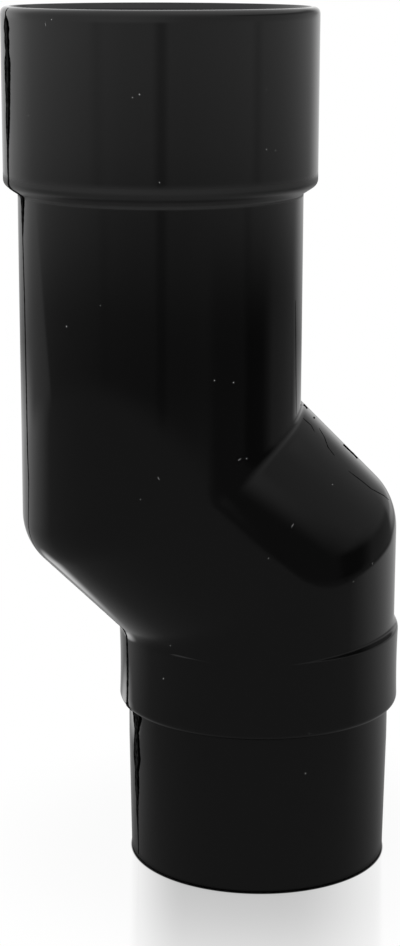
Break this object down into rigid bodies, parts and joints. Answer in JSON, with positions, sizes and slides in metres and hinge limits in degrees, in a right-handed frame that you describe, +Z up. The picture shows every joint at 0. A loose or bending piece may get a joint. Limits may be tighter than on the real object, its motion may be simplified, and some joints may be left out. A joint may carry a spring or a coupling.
{
  "type": "downpipe offset bend",
  "caption": "Black moulded offset bend for 68 mm round downpipe: a socket on a long barrel, a short 45 degree slope, a stop collar and a spigot.",
  "frame": {"origin": "centre of the spigot's bottom end, where the fitting stands", "axes": "+Z up along the spigot, the barrel and the socket; the socket's axis is set off by 26 mm towards -X; the bend is symmetric about the XZ plane"},
  "size_m": [0.0986, 0.0748, 0.2125],
  "materials": {
    "black_pvc": "glossy, as moulded"
  },
  "bodies": {
    "root": {"offset_bend": "black_pvc"}
  },
  "joints": []
}
